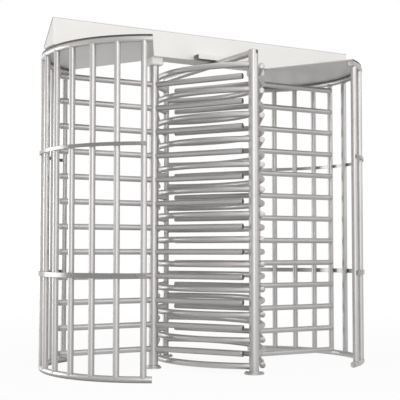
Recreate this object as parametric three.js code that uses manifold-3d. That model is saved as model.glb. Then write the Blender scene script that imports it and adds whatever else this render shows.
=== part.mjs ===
// A double full height turnstile: two rotors side by side under one head beam.
// Millimetres, +Z up. The origin is on the floor, midway between the two columns.
// -Y is the front, and +X points from the left lane to the right lane.
import * as THREE from 'three';
import { mergeVertices } from 'three/addons/utils/BufferGeometryUtils.js';
import Module from 'manifold-3d';

const wasm = await Module();
wasm.setup();

// Layout of the two lanes.
const guardRadius = 756;
const cageOutset = 12;
const cageHalfAngle = THREE.MathUtils.degToRad(62);
const ringEndAngle = THREE.MathUtils.degToRad(3.95);
const uprightCount = 10;
const wingCount = 3;
const guardToColumnGap = 46;
const armEndClearance = 32;

// Rows of arms and guard bars, from the lowest up to just under the top rings.
const leftRowCount = 12;
const rightRowCount = 13;
const lowestRightRow = 52;
const topRowDrop = 75;

// Tubes.
const armDiameter = 40;
const guardBarDiameter = 42;
const ringTubeDiameter = 42;
const uprightDiameter = 40;
const frontPostDiameter = 66;
const backPostDiameter = 48;
const crossTubeDiameter = 46;
const postWall = 4;
const topRingHeight = 2143;
const postBelowTubeTop = 4;

// Columns and their bearings.
const columnDiameter = 66;
const columnBore = 58;
const columnFootDepth = 50;
const shaftDiameter = 30;
const shaftAboveTray = 34;
const columnTopGap = 0.5;
const bearingFlangeDiameter = 112;
const bearingFlangeThickness = 11;
const bearingCollarDiameter = 92;
const bearingCollarHeight = 21;
const pivotPinDiameter = 28;
const pivotPinHeight = 48;
const pivotPinClearance = 2;
const housingWidth = 104;
const housingHeight = 52;
const trayHoleClearance = 2;
const collarClearance = 2;

// Mounting strips of the wings and of the guard bars.
const stripThickness = 6;
const wingStripWidth = 30;
const guardStripWidth = 24;
const stripOverrun = 24;

// Post flanges.
const postFlangeDiameter = 132;
const backFlangeDiameter = 110;
const postFlangeThickness = 12;
const flangeCollarWall = 5;
const flangeCollarHeight = 26;

// Bands outside the cage uprights.
const upperBandCentre = 1483;
const upperBandHeight = 24;
const lowerBandCentre = 660;
const lowerBandHeight = 32;
const bandThickness = 5;

// Roof plates, head beam and the bracket under it.
const roofThickness = 7;
const roofOverhang = 14;
const roofToHousingGap = 8;
const beamPastCage = 27;
const beamFront = 84;
const beamBack = 82;
const beamHeight = 187;
const beamSheet = 3;
const trayThickness = 4;
const bracketLength = 312;
const bracketDepth = 77;
const bracketHeight = 34;
const bracketSheet = 4;

// Lock inside the head beam.
const camRadius = 36;
const camNotchDepth = 7;
const camThickness = 10;
const camAboveTray = 8;
const camNotchShare = 0.12;
const pawlPivotBeside = 56;
const pawlPivotBefore = 26;
const pawlPivotRadius = 12;
const pawlTipRadius = 5;
const pawlTipClearance = 2.3;
const pawlTipAngle = THREE.MathUtils.degToRad(-40.3);
const pawlPinRadius = 5;
const pawlPinAboveTray = 24;
const controlBoxLength = 300;
const controlBoxDepth = 84;
const controlBoxHeight = 58;
const controlBoxInset = 10;

// Fineness of the round forms, and the gap between pieces that touch.
const tubeSides = 8;
const arcSteps = 10;
const ringSteps = 16;
const roundSides = 20;
const touchGap = 0.35;
const mergeTolerance = 0.001;

// Places that follow from the sizes above.
const cageRadius = guardRadius + cageOutset;
const columnSpacing = guardRadius + guardBarDiameter / 2 + columnDiameter / 2 + guardToColumnGap;
const uprightStep = 2 * (cageHalfAngle - ringEndAngle) / (uprightCount - 1);
const armReach = guardRadius - guardBarDiameter / 2 - armEndClearance;
const rowPitch = (topRingHeight - topRowDrop - lowestRightRow) / (rightRowCount - 1);
const lowestLeftRow = lowestRightRow + rowPitch / 2;
const columnFootBore = pivotPinDiameter + 2 * pivotPinClearance;
const roofInnerEdge = housingWidth / 2 + roofToHousingGap;
const pawlPivotX = camRadius + pawlPivotBeside;
const pawlPivotY = -camRadius - pawlPivotBefore;
const pawlTipReach = camRadius + pawlTipRadius + pawlTipClearance;
const pawlTipX = pawlTipReach * Math.cos(pawlTipAngle);
const pawlTipY = pawlTipReach * Math.sin(pawlTipAngle);
const roofBottom = topRingHeight + ringTubeDiameter / 2 + touchGap;
const trayBottom = roofBottom + roofThickness + touchGap;
const trayTop = trayBottom + trayThickness;
const crossTubeHeight = trayBottom - touchGap - crossTubeDiameter / 2;
const postTopHeight = crossTubeHeight + crossTubeDiameter / 2 - postBelowTubeTop;
const housingBottom = trayBottom - touchGap - housingHeight;
const postPlaceY = Math.sqrt(guardRadius * guardRadius - columnSpacing * columnSpacing / 4);
const postAngle = Math.atan2(postPlaceY, columnSpacing / 2);
const columnFootHeight = bearingFlangeThickness + touchGap;

// Removes zero-area faces, merges shared corners and turns the faces outwards.
function closed(geometry) {
  const source = geometry.clone();
  source.deleteAttribute('normal');
  source.deleteAttribute('uv');
  const merged = mergeVertices(source, mergeTolerance);
  const place = merged.getAttribute('position');
  const kept = [];
  let volume = 0;
  const a = new THREE.Vector3();
  const b = new THREE.Vector3();
  const c = new THREE.Vector3();
  const index = merged.getIndex();
  for (let i = 0; i < index.count; i += 3) {
    const [p, q, r] = [index.getX(i), index.getX(i + 1), index.getX(i + 2)];
    if (p === q || q === r || r === p) continue;
    a.fromBufferAttribute(place, p);
    b.fromBufferAttribute(place, q);
    c.fromBufferAttribute(place, r);
    volume += a.dot(b.cross(c));
    kept.push(p, q, r);
  }
  if (volume < 0) kept.reverse();
  merged.setIndex(kept);
  return merged;
}

function toSolid(geometry) {
  const shell = closed(geometry);
  return new wasm.Manifold(new wasm.Mesh({
    numProp: 3,
    vertProperties: new Float32Array(shell.getAttribute('position').array),
    triVerts: new Uint32Array(shell.getIndex().array),
  }));
}

function toGeometry(solid) {
  const mesh = solid.getMesh();
  const geometry = new THREE.BufferGeometry();
  geometry.setAttribute('position', new THREE.BufferAttribute(new Float32Array(mesh.vertProperties), 3));
  geometry.setIndex(new THREE.BufferAttribute(new Uint32Array(mesh.triVerts), 1));
  return geometry;
}

function joined(geometries) {
  const solids = geometries.map(toSolid);
  const sum = solids.reduce((whole, next) => whole.add(next));
  return toGeometry(sum);
}

function cut(geometry, cutters) {
  const rest = cutters.map(toSolid).reduce((whole, next) => whole.subtract(next), toSolid(geometry));
  return toGeometry(rest);
}

// A regular outline whose flats are one radius away from the middle.
function roundOutline(radius, sides) {
  const corner = radius / Math.cos(Math.PI / sides);
  const points = [];
  for (let i = 0; i < sides; i += 1) {
    const angle = (i + 1 / 2) * 2 * Math.PI / sides;
    points.push(new THREE.Vector2(corner * Math.cos(angle), corner * Math.sin(angle)));
  }
  return new THREE.Shape(points);
}

// A straight upright bar of round section from one height to another.
function uprightBar(radius, sides, low, high) {
  const geometry = new THREE.ExtrudeGeometry(roundOutline(radius, sides), {
    depth: high - low,
    bevelEnabled: false,
    steps: 1,
  });
  return geometry.translate(0, 0, low);
}

// A straight bar of round section along +X from one distance to another.
function levelBar(radius, sides, from, to, height) {
  const geometry = uprightBar(radius, sides, from, to);
  return geometry.rotateY(Math.PI / 2).translate(0, 0, height);
}

class LevelArc extends THREE.Curve {
  constructor(radius, start, end) {
    super();
    this.radius = radius;
    this.start = start;
    this.end = end;
  }

  getPoint(share, target = new THREE.Vector3()) {
    const angle = this.start + (this.end - this.start) * share;
    return target.set(this.radius * Math.cos(angle), this.radius * Math.sin(angle), 0);
  }
}

// A round tube bent along a level arc about the Z axis.
function bentBar(barRadius, arcRadius, start, end, height, steps) {
  const geometry = new THREE.ExtrudeGeometry(roundOutline(barRadius, tubeSides), {
    steps,
    bevelEnabled: false,
    extrudePath: new LevelArc(arcRadius, start, end),
  });
  return geometry.translate(0, 0, height);
}

// A round body from an outline of radius and height pairs.
function turned(pairs) {
  const points = pairs.map(([radius, height]) => new THREE.Vector2(radius, height));
  return new THREE.LatheGeometry(points, roundSides).rotateX(Math.PI / 2);
}

function block(sizeX, sizeY, sizeZ, x, y, z) {
  return new THREE.BoxGeometry(sizeX, sizeY, sizeZ).translate(x, y, z);
}

// Extrudes an outline drawn in Y and Z along X.
function alongX(shape, from, to) {
  const geometry = new THREE.ExtrudeGeometry(shape, { depth: to - from, bevelEnabled: false, steps: 1 });
  const turn = new THREE.Matrix4().makeBasis(
    new THREE.Vector3(0, 1, 0),
    new THREE.Vector3(0, 0, 1),
    new THREE.Vector3(1, 0, 0),
  );
  return geometry.applyMatrix4(turn).translate(from, 0, 0);
}

function outline(pairs) {
  return new THREE.Shape(pairs.map(([x, y]) => new THREE.Vector2(x, y)));
}

function finish(colour, roughness, metalness) {
  return () => new THREE.MeshStandardMaterial({ color: colour, roughness, metalness });
}

const satinTube = finish('#b4b3b1', 0.36, 0.85);
const darkSteel = finish('#8d8b89', 0.5, 0.8);
const paleCover = finish('#eae7e3', 0.55, 0.1);
const roofGrey = finish('#a5a3a1', 0.6, 0.3);
const paleHousing = finish('#dddad7', 0.45, 0.3);
const hardSteel = finish('#6f6f70', 0.4, 0.9);
const boxPlastic = finish('#d6d6d2', 0.6, 0);

const turnstile = new THREE.Group();

function add(parent, name, geometry, material) {
  const mesh = new THREE.Mesh(closed(geometry), material());
  mesh.name = name;
  parent.add(mesh);
  return mesh;
}

// One rotor: a column on its axis, three wings of arms and the lock's cam.
function addRotor(side, x, firstAngle, lowestRow, rowCount) {
  const rotor = new THREE.Group();
  rotor.position.set(x, 0, 0);
  rotor.rotation.z = firstAngle;
  turnstile.add(rotor);

  const columnTop = housingBottom - columnTopGap;
  const shaftTop = trayTop + shaftAboveTray;
  const column = turned([
    [0, columnTop - columnFootDepth],
    [columnBore / 2, columnTop - columnFootDepth],
    [columnBore / 2, columnFootHeight + columnFootDepth],
    [columnFootBore / 2, columnFootHeight + columnFootDepth],
    [columnFootBore / 2, columnFootHeight],
    [columnDiameter / 2, columnFootHeight],
    [columnDiameter / 2, columnTop],
    [shaftDiameter / 2, columnTop],
    [shaftDiameter / 2, shaftTop],
    [0, shaftTop],
  ]);
  add(rotor, `${side}_rotor_column`, column, satinTube);

  const stripInner = columnDiameter / 2 + touchGap;
  const stripLow = lowestRow - stripOverrun;
  const stripHigh = lowestRow + (rowCount - 1) * rowPitch + stripOverrun;
  const wingNames = ['outer', 'front', 'back'];
  for (let wing = 0; wing < wingCount; wing += 1) {
    const strip = block(
      stripThickness,
      wingStripWidth,
      stripHigh - stripLow,
      stripInner + stripThickness / 2,
      0,
      (stripHigh + stripLow) / 2,
    );
    const bars = [strip];
    for (let row = 0; row < rowCount; row += 1) {
      const height = lowestRow + row * rowPitch;
      bars.push(levelBar(armDiameter / 2, tubeSides, stripInner + stripThickness / 2, armReach, height));
    }
    const order = side === 'left' ? wing : (wingCount - wing) % wingCount;
    const mesh = add(rotor, `${side}_rotor_${wingNames[order]}_wing`, joined(bars), satinTube);
    mesh.rotation.z = wing * 2 * Math.PI / wingCount;
  }

  // The cam is a disc with one notch for each resting place.
  const camPoints = [];
  const camSteps = roundSides * wingCount;
  for (let i = 0; i < camSteps; i += 1) {
    const turn = i / camSteps;
    const inSector = (turn * wingCount) % 1;
    const notched = inSector < camNotchShare || inSector > 1 - camNotchShare;
    const radius = notched ? camRadius - camNotchDepth : camRadius;
    const angle = turn * 2 * Math.PI;
    camPoints.push(new THREE.Vector2(radius * Math.cos(angle), radius * Math.sin(angle)));
  }
  const camShape = new THREE.Shape(camPoints);
  const bore = roundOutline(shaftDiameter / 2 + touchGap, roundSides).getPoints().reverse();
  camShape.holes.push(new THREE.Path(bore));
  const cam = new THREE.ExtrudeGeometry(camShape, { depth: camThickness, bevelEnabled: false, steps: 1 });
  add(rotor, `${side}_lock_cam`, cam.translate(0, 0, trayTop + camAboveTray), hardSteel);
}

// The floor bearing carries the column's foot on a pin.
function addFloorBearing(side, x) {
  const bearing = turned([
    [0, 0],
    [bearingFlangeDiameter / 2, 0],
    [bearingFlangeDiameter / 2, bearingFlangeThickness],
    [bearingCollarDiameter / 2, bearingCollarHeight],
    [columnDiameter / 2 + collarClearance, bearingCollarHeight],
    [columnDiameter / 2 + collarClearance, bearingFlangeThickness],
    [pivotPinDiameter / 2, bearingFlangeThickness],
    [pivotPinDiameter / 2, pivotPinHeight],
    [0, pivotPinHeight],
  ]);
  add(turnstile, `${side}_floor_bearing`, bearing, darkSteel).position.set(x, 0, 0);
}

// The bearing housing hangs under the head beam's tray round the shaft.
function addHousing(side, x) {
  const half = housingWidth / 2;
  const shape = outline([[-half, -half], [half, -half], [half, half], [-half, half]]);
  const hole = roundOutline(shaftDiameter / 2 + touchGap, roundSides).getPoints().reverse();
  shape.holes.push(new THREE.Path(hole));
  const housing = new THREE.ExtrudeGeometry(shape, { depth: housingHeight, bevelEnabled: false, steps: 1 });
  add(turnstile, `${side}_bearing_housing`, housing.translate(0, 0, housingBottom), paleHousing)
    .position.set(x, 0, 0);
}

// The pawl swings on its own pin in the tray, and is shown clear of the cam.
function addPawl(side, x) {
  const low = trayTop + camAboveTray;
  const reachX = pawlTipX - pawlPivotX;
  const reachY = pawlTipY - pawlPivotY;
  const length = Math.hypot(reachX, reachY);
  const arm = outline([
    [0, -pawlPivotRadius],
    [0, pawlPivotRadius],
    [length, pawlTipRadius],
    [length, -pawlTipRadius],
  ]);
  const bar = new THREE.ExtrudeGeometry(arm, { depth: camThickness, bevelEnabled: false, steps: 1 });
  const boss = uprightBar(pawlPivotRadius, roundSides, 0, camThickness);
  const pin = uprightBar(pawlPinRadius, roundSides, touchGap - camAboveTray, pawlPinAboveTray - camAboveTray);
  const pawl = add(turnstile, `${side}_lock_pawl`, joined([bar, boss, pin]), hardSteel);
  pawl.position.set(x + pawlPivotX, pawlPivotY, low);
  pawl.rotation.z = Math.atan2(reachY, reachX);
}

// A cage: two bent rings, ten uprights between them, two bands outside and a roof.
function addCage(side, x, outward) {
  const cage = new THREE.Group();
  cage.position.set(x, 0, 0);
  cage.rotation.z = outward;
  turnstile.add(cage);

  const ringHeights = { bottom: ringTubeDiameter / 2, top: topRingHeight };
  const cutters = [];
  for (const [level, height] of Object.entries(ringHeights)) {
    const bar = (grow) => bentBar(
      ringTubeDiameter / 2 + grow,
      cageRadius,
      -cageHalfAngle,
      cageHalfAngle,
      height,
      ringSteps,
    );
    add(cage, `${side}_cage_${level}_ring`, bar(0), satinTube);
    cutters.push(bar(touchGap));
  }
  for (let i = 0; i < uprightCount; i += 1) {
    const angle = (i - (uprightCount - 1) / 2) * uprightStep;
    const bar = uprightBar(uprightDiameter / 2, tubeSides, ringHeights.bottom, ringHeights.top);
    bar.rotateZ(angle).translate(cageRadius * Math.cos(angle), cageRadius * Math.sin(angle), 0);
    const number = String(i + 1).padStart(2, '0');
    add(cage, `${side}_cage_upright_${number}`, cut(bar, cutters), satinTube);
  }

  // The bands lie against the outer sides of the uprights.
  const bandInner = (cageRadius + uprightDiameter / 2 + touchGap) / Math.cos(cageHalfAngle / ringSteps);
  const bandSpan = (uprightCount - 1) / 2 * uprightStep + uprightDiameter / cageRadius / 2;
  const bands = {
    upper: [upperBandCentre, upperBandHeight],
    lower: [lowerBandCentre, lowerBandHeight],
  };
  for (const [level, [centre, height]] of Object.entries(bands)) {
    const points = [];
    for (let i = 0; i <= ringSteps; i += 1) {
      const angle = bandSpan * (2 * i / ringSteps - 1);
      points.push([bandInner * Math.cos(angle), bandInner * Math.sin(angle)]);
    }
    const outer = bandInner + bandThickness;
    for (let i = ringSteps; i >= 0; i -= 1) {
      const angle = bandSpan * (2 * i / ringSteps - 1);
      points.push([outer * Math.cos(angle), outer * Math.sin(angle)]);
    }
    const band = new THREE.ExtrudeGeometry(outline(points), { depth: height, bevelEnabled: false, steps: 1 });
    add(cage, `${side}_cage_${level}_band`, band.translate(0, 0, centre - height / 2), satinTube);
  }

  // The roof plate is a third of a disc, cut straight beside the bearing housing.
  const roofRadius = cageRadius + roofOverhang;
  const corner = roofInnerEdge * Math.tan(cageHalfAngle);
  const rim = [[roofInnerEdge, corner], [roofInnerEdge, -corner]];
  for (let i = 0; i <= ringSteps; i += 1) {
    const angle = cageHalfAngle * (2 * i / ringSteps - 1);
    rim.push([roofRadius * Math.cos(angle), roofRadius * Math.sin(angle)]);
  }
  const roof = new THREE.ExtrudeGeometry(outline(rim), { depth: roofThickness, bevelEnabled: false, steps: 1 });
  add(cage, `${side}_roof_plate`, roof.translate(0, 0, roofBottom), roofGrey);
}

// A post is a tube with a closed top, and it stands in its own floor flange.
function addPost(place, y, diameter, flangeDiameter) {
  const radius = diameter / 2;
  const low = postFlangeThickness + touchGap;
  const post = turned([
    [0, postTopHeight - postWall],
    [radius - postWall, postTopHeight - postWall],
    [radius - postWall, low],
    [radius, low],
    [radius, postTopHeight - postWall],
    [radius - postWall, postTopHeight],
    [0, postTopHeight],
  ]);
  add(turnstile, `${place}_post`, post, satinTube).position.set(0, y, 0);
  const flange = turned([
    [0, 0],
    [flangeDiameter / 2, 0],
    [flangeDiameter / 2, postFlangeThickness],
    [radius + touchGap + flangeCollarWall, postFlangeThickness],
    [radius + touchGap + flangeCollarWall / 2, flangeCollarHeight],
    [radius + touchGap, flangeCollarHeight],
    [radius + touchGap, postFlangeThickness],
    [0, postFlangeThickness],
  ]);
  add(turnstile, `${place}_post_flange`, flange, darkSteel).position.set(0, y, 0);
}

// Guard bars bend about one column, from the front post to the back post.
function addGuard(side, x, middle, frontSign, lowestRow, rowCount) {
  const guard = new THREE.Group();
  guard.position.set(x, 0, 0);
  guard.rotation.z = middle;
  turnstile.add(guard);
  const ends = [
    { sign: frontSign, post: frontPostDiameter },
    { sign: -frontSign, post: backPostDiameter },
  ].map(({ sign, post }) => {
    const away = post / 2 + touchGap + stripThickness / 2;
    return sign * (postAngle - away / guardRadius);
  });
  const low = lowestRow - stripOverrun;
  const high = lowestRow + (rowCount - 1) * rowPitch + stripOverrun;
  const pieces = ends.map((angle) => block(
    guardStripWidth,
    stripThickness,
    high - low,
    0,
    0,
    (high + low) / 2,
  ).rotateZ(angle).translate(guardRadius * Math.cos(angle), guardRadius * Math.sin(angle), 0));
  for (let row = 0; row < rowCount; row += 1) {
    const height = lowestRow + row * rowPitch;
    const [from, to] = [Math.min(...ends), Math.max(...ends)];
    pieces.push(bentBar(guardBarDiameter / 2, guardRadius, from, to, height, arcSteps));
  }
  add(guard, `${side}_guard_bars`, joined(pieces), satinTube);
}

const leftX = -columnSpacing / 2;
const rightX = columnSpacing / 2;
addRotor('left', leftX, Math.PI, lowestLeftRow, leftRowCount);
addRotor('right', rightX, 0, lowestRightRow, rightRowCount);
addFloorBearing('left', leftX);
addFloorBearing('right', rightX);
addHousing('left', leftX);
addHousing('right', rightX);
addPawl('left', leftX);
addPawl('right', rightX);
addCage('left', leftX, Math.PI);
addCage('right', rightX, 0);
addPost('front', -postPlaceY, frontPostDiameter, postFlangeDiameter);
addPost('back', postPlaceY, backPostDiameter, backFlangeDiameter);
addGuard('left', rightX, Math.PI, 1, lowestRightRow, rightRowCount);
addGuard('right', leftX, 0, -1, lowestLeftRow, leftRowCount);

// The cross tube runs between the posts, shaped to their round sides.
const tubeRun = levelBar(crossTubeDiameter / 2, tubeSides, -postPlaceY, postPlaceY, crossTubeHeight)
  .rotateZ(Math.PI / 2);
const tubeCutters = [
  [-postPlaceY, frontPostDiameter],
  [postPlaceY, backPostDiameter],
].map(([y, diameter]) => uprightBar(
  diameter / 2 + touchGap,
  roundSides,
  crossTubeHeight - crossTubeDiameter,
  crossTubeHeight + crossTubeDiameter,
).translate(0, y, 0));
add(turnstile, 'cross_tube', cut(tubeRun, tubeCutters), satinTube);

// The clamp bracket is a channel, open below, on the front of the head beam.
const bracketBottom = crossTubeHeight + crossTubeDiameter / 2 + touchGap;
const bracketTop = bracketBottom + bracketHeight;
const bracketBack = -beamFront - touchGap;
const bracketFront = bracketBack - bracketDepth;
const bracketShape = outline([
  [bracketFront, bracketBottom],
  [bracketFront + bracketSheet, bracketBottom],
  [bracketFront + bracketSheet, bracketTop - bracketSheet],
  [bracketBack - bracketSheet, bracketTop - bracketSheet],
  [bracketBack - bracketSheet, bracketBottom],
  [bracketBack, bracketBottom],
  [bracketBack, bracketTop],
  [bracketFront, bracketTop],
]);
add(turnstile, 'beam_clamp_bracket', alongX(bracketShape, -bracketLength / 2, bracketLength / 2), paleHousing);

// The head beam: a flat tray with a hole for each shaft, a folded cover and two ends.
const beamHalf = columnSpacing / 2 + cageRadius + beamPastCage;
const trayShape = outline([
  [-beamHalf, -beamFront],
  [beamHalf, -beamFront],
  [beamHalf, beamBack],
  [-beamHalf, beamBack],
]);
for (const x of [leftX, rightX]) {
  const ring = roundOutline(shaftDiameter / 2 + trayHoleClearance, roundSides).getPoints().reverse();
  trayShape.holes.push(new THREE.Path(ring.map((point) => new THREE.Vector2(point.x + x, point.y))));
}
const tray = new THREE.ExtrudeGeometry(trayShape, { depth: trayThickness, bevelEnabled: false, steps: 1 });
add(turnstile, 'head_beam_tray', tray.translate(0, 0, trayBottom), paleCover);

const coverBottom = trayTop + touchGap;
const coverTop = trayBottom + beamHeight;
const coverRise = coverTop - coverBottom;
const coverDepth = beamFront + beamBack;
const coverSlope = Math.hypot(coverRise, coverDepth);
const innerTop = coverBottom + ((coverDepth - beamSheet) * coverRise - beamSheet * coverSlope) / coverDepth;
const coverShape = outline([
  [-beamFront, coverBottom],
  [-beamFront, coverTop],
  [beamBack, coverBottom],
  [beamBack - beamSheet * coverSlope / coverRise, coverBottom],
  [beamSheet - beamFront, innerTop],
  [beamSheet - beamFront, coverBottom],
]);
const coverEnd = beamHalf - beamSheet - touchGap;
add(turnstile, 'head_beam_cover', alongX(coverShape, -coverEnd, coverEnd), paleCover);
const endShape = outline([
  [-beamFront, coverBottom],
  [-beamFront, coverTop],
  [beamBack, coverBottom],
]);
add(turnstile, 'head_beam_left_end', alongX(endShape, -beamHalf, beamSheet - beamHalf), paleCover);
add(turnstile, 'head_beam_right_end', alongX(endShape, beamHalf - beamSheet, beamHalf), paleCover);

// The control box stands on the tray in the middle of the head beam.
add(turnstile, 'control_box', block(
  controlBoxLength,
  controlBoxDepth,
  controlBoxHeight,
  0,
  controlBoxInset + controlBoxDepth / 2 - beamFront,
  trayTop + touchGap + controlBoxHeight / 2,
), boxPlastic);

export default turnstile;
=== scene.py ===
import math

import bmesh
import bpy
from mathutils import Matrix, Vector


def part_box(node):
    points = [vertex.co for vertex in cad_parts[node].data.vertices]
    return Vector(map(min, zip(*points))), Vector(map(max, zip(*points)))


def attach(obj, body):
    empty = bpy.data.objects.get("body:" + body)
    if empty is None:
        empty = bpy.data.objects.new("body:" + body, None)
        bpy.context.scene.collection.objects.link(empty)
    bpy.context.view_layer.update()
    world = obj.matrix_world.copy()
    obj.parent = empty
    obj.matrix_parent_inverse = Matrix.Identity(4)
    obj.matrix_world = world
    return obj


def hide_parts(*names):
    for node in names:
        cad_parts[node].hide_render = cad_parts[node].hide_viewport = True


bl_info = {
    "name": "Double Full Height Turnstile",
    "version": (1, 0, 0),
    "blender": (4, 5, 0),
    "location": "3D View > Sidebar > Turnstile",
    "description": "Builds the visible pieces of a double full height turnstile round its frame",
    "category": "Add Mesh",
}

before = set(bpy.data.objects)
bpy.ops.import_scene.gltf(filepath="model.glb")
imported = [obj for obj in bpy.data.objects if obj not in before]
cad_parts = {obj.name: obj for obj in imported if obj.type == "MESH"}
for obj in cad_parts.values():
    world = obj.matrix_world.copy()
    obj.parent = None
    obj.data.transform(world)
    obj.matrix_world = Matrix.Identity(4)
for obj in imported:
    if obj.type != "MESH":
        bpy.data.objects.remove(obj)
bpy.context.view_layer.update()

UP = Vector((0, 0, 1))
MM = 0.001

# Places and lengths of the frame, in metres.
COLUMN_X = 0.428
GUARD_RADIUS = 0.756
CAGE_RADIUS = 0.768
CAGE_HALF_ANGLE = math.radians(62)
UPRIGHT_COUNT = 10
UPRIGHT_STEP = math.radians(12.9)
POST_Y = math.sqrt(GUARD_RADIUS ** 2 - COLUMN_X ** 2)
POST_ANGLE = math.atan2(POST_Y, COLUMN_X)
ROW_PITCH = 0.168
LOWEST_RIGHT_ROW = 0.052
LOWEST_LEFT_ROW = LOWEST_RIGHT_ROW + ROW_PITCH / 2
LEFT_ROWS = 12
RIGHT_ROWS = 13
ARM_TUBE_END = 0.690
ARM_REACH = 0.703
TOP_RING_HEIGHT = 2.143
BAND_THICKNESS = 0.005
ROOF_OVERHANG = 0.014
ROOF_INNER_EDGE = 0.060
TOUCH_GAP = 0.0003

# The middle and the height of the two bands round each cage.
BANDS = {"upper": (1.483, 0.024), "lower": (0.660, 0.032)}

# Sides of the round forms, number of parts in the bent flat ones, and lengths of the tubes' faces.
TUBE_SIDES = 32
POST_SIDES = 56
CROSS_TUBE_SIDES = 36
SCREW_SIDES = 18
SOCKET_SIDES = 20
COVER_SIDES = 40
WASHER_SIDES = 24
PLUG_SIDES = 24
WELD_STEPS = 36
WELD_SIDES = 6
BAND_WELD_SIDES = 12
BAND_PARTS = 72
ROOF_PARTS = 64
COLUMN_PART = 0.6
POST_PART = 0.55
ARM_PART = 0.17
UPRIGHT_PART = 0.35
CROSS_TUBE_PART = 0.3
RING_PART = 0.02
GUARD_PART = 0.026

# Where a welded arm or guard bar starts, as a share of the radius of what it is welded to.
ARM_ROOT_SHARE = 0.72
GUARD_ROOT_SHARE = 0.6

# Small outlines in millimetres: how far along, and how far out from the radius that they are set on.
COLUMN_GROOVE = ((-60, 0), (-59.5, -1.2), (-56.5, -1.2), (-56, 0), (-1.2, 0), (0, -1.2))
CAP_START = ((3.2, -0.6), (3.8, -0.1))
CAP_SHOULDER = ((-2.2, -0.1), (-1, -0.5), (-0.3, -1.4))
CAP_FACE = ((-0.3, -1.4), (0, -2.8))
CAP_SEAM = ((0.2, -0.2), (1, 0.3), (2.2, 0.3), (3, -0.2))
POST_CROWN = ((-6, 0), (-5.6, -0.5), (-5.2, 0), (-3, -0.6), (-1.2, -2.2), (0, -6))
POST_FLANGE_RIM = ((0, -1), (1, 0), (10.5, 0), (12, -1.5))
POST_FLANGE_COLLAR = ((12, 6), (14, 5), (18.5, 1.6), (19.5, 0.3), (12, 0.3))
FLOOR_FLANGE_RIM = ((0, -1), (1, 0), (9.5, 0), (11, -1.5))
FLOOR_FLANGE_COLLAR = ((12, 0), (19.5, -2.5), (20.5, -3.5), (21, -5))
FLOOR_FLANGE_WELL = ((21, 2.2), (11, 2.2))
BAND_WELD = ((-9, 0), (-8.2, 1.4), (-4, 2.3), (0, 1.9), (4, 2.3), (8.2, 1.4), (9, 0))
COVER_SCREW = ((0, 0), (0, 4.8), (2.2, 4.6), (3.2, 3), (3.4, 0))
END_SCREW = ((0, 0), (0, 4.2), (1.8, 4), (2.4, 2), (2.4, 0))
SOCKET_SCREW = ((0, 0), (0, 5.2), (1.2, 5), (1.4, 2.6), (0.5, 2.4), (0.5, 0))
BEARING_COVER = ((0, 0), (0, 28), (1, 29), (1, 0))

# Outlines of a bolt's washer and head, in shares of its height and its radius.
WASHER_SHARES = ((0, 0), (0, 1.35), (0.2, 1.35), (0.25, 1.3), (0.25, 0))
HEX_HEAD_SHARES = ((0.25, 0), (0.25, 1), (0.86, 1), (1, 0.82), (1, 0))

# The plug in the front post: which way it looks, half its width, and how far it is under the post's top.
PLUG_ANGLE = math.radians(-73)
PLUG_HALF_WIDTH = 0.0115
PLUG_DROP = 0.0175
# Its corners get sharper as this nears 1.
PLUG_SQUARENESS = 0.8
# How far each of its rings stands off the post in millimetres, and its share of the width.
PLUG_RINGS = ((-1.5, 1.0), (0.6, 1.0), (1.2, 0.9), (1.2, 0.3))

# The span of a noise's values that carries a colour or a roughness from one end to the other.
NOISE_SPAN = (0.3, 0.7)

# The camera's place in metres, and its tilt up and its turn about the upright axis in degrees.
CAMERA_PLACE = (-3.559, -6.057, 0.818)
CAMERA_TILT = 2.961
CAMERA_TURN = -30.06
SENSOR_WIDTH = 36.0

# Each soft lamp's place, the point that it faces, and its width and height.
LAMPS = {
    "key": ((-3.5, -8.2, 2.9), (0, 0, 1.3), (3.2, 5.6)),
    "top": ((-0.5, -1.5, 5.5), (0, 0, 1.0), (4.0, 4.0)),
    "rim": ((-4.2, 4.1, 1.4), (-1.1, 0, 0.9), (3.4, 2.5)),
    "side": ((3.8, -7.0, 3.8), (0, 0, 1.2), (5.0, 4.0)),
}

# The floor gives way to white: for which rays, between which distances, and from what share.
FLOOR_RADIUS = 40.0
FLOOR_FADES = (("Is Camera Ray", (1.5, 6.0), 0.93), ("Is Glossy Ray", (1.0, 2.4), 0.75))
# The distances from the left ring between which the floor comes up in the steel's reflections.
RING_SHADE = (0.055, 0.14)

# Each lane's column, the direction away from the other lane, and the rows of its rotor.
LANES = {
    "left": {"x": -COLUMN_X, "outward": math.pi, "low": LOWEST_LEFT_ROW, "rows": LEFT_ROWS},
    "right": {"x": COLUMN_X, "outward": 0.0, "low": LOWEST_RIGHT_ROW, "rows": RIGHT_ROWS},
}


def metres(name, description, value):
    """A length property in metres, with a value to start from."""
    return bpy.props.FloatProperty(name=name, description=description, default=value, unit="LENGTH")


class TurnstileSizes(bpy.types.PropertyGroup):
    arm_diameter: metres("Arm", "Outer diameter of a rotor arm", 0.040)
    guard_diameter: metres("Guard bar", "Outer diameter of a guard bar", 0.042)
    upright_diameter: metres("Cage upright", "Outer diameter of a cage upright", 0.040)
    ring_diameter: metres("Cage ring", "Outer diameter of a cage ring's tube", 0.042)
    column_diameter: metres("Column", "Outer diameter of a rotor column", 0.066)
    front_post_diameter: metres("Front post", "Outer diameter of the front post", 0.066)
    back_post_diameter: metres("Back post", "Outer diameter of the back post", 0.048)
    cross_tube_diameter: metres("Cross tube", "Outer diameter of the tube between the posts", 0.046)
    tube_wall: metres("Tube wall", "Wall of the arms, bars and rings", 0.0025)
    weld_size: metres("Weld bead", "Half width of a weld bead", 0.0020)


def rgb(name, description, *value):
    """A colour property, with the red, green and blue to start from."""
    return bpy.props.FloatVectorProperty(
        name=name, description=description, default=(*value, 1.0), subtype="COLOR", size=4)


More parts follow.
